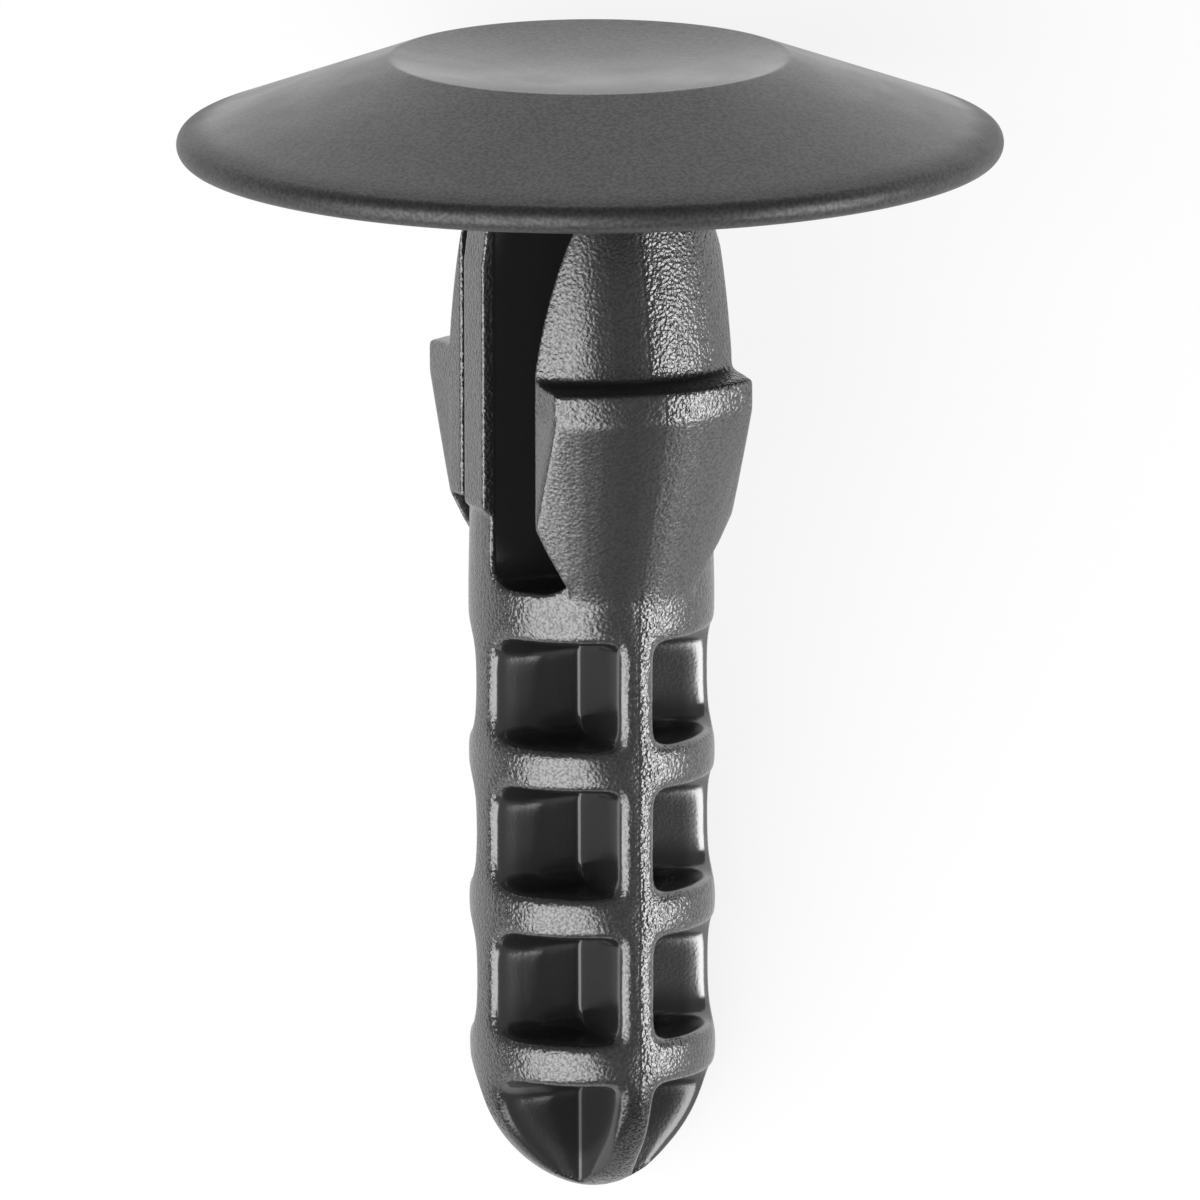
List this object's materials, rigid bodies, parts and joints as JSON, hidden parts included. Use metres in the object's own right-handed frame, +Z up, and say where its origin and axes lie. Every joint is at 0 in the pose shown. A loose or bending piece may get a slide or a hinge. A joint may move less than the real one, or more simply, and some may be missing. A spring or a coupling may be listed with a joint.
{
  "type": "bumper retainer",
  "caption": "One-piece push-in plastic retainer: dished conical head, flat middle plate between bowed barbed wings, ribbed cross-shaped shank with a blunt nose; locks trim to a panel hole.",
  "frame": {"origin": "middle of the base of the part's box, on the ground that the retainer lies on", "axes": "+Z up; +Y from the nose to the head, seen from above; the shank's own axis leans up towards the head by about 17 degrees in the YZ plane"},
  "size_m": [0.025, 0.0352, 0.0239],
  "materials": {
    "plastic": "satin moulded nylon, spark-textured shank"
  },
  "bodies": {
    "root": {"retainer": "plastic"}
  },
  "joints": []
}
